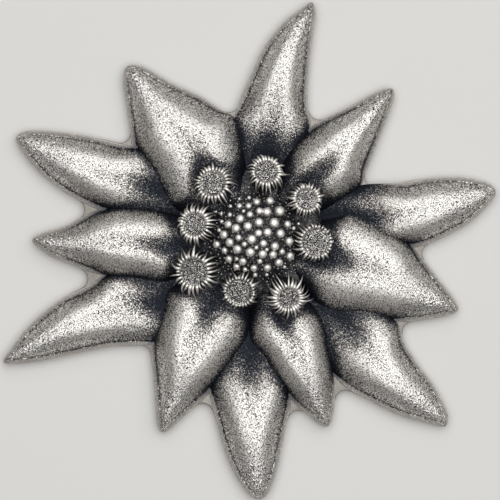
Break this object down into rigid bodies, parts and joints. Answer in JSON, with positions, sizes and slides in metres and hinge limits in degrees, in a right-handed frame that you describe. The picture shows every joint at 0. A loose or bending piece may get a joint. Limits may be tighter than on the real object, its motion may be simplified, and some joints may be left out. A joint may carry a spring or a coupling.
{
  "type": "cast metal edelweiss ornament",
  "caption": "Cast metal relief of an edelweiss bloom with layered petals, a ring of floret heads and a beaded heart, for fixing flat to a surface.",
  "frame": {"origin": "on the flat back, under the heart of the flower", "axes": "+Z out of the face of the flower, +Y along the picture's upward direction, +X to the right of the face"},
  "size_m": [0.0493, 0.0497, 0.0057],
  "materials": {
    "antique_silver": "antique silver, dark in the hollows and worn bright on the high spots"
  },
  "bodies": {
    "root": {"casting": "antique_silver"}
  },
  "joints": []
}
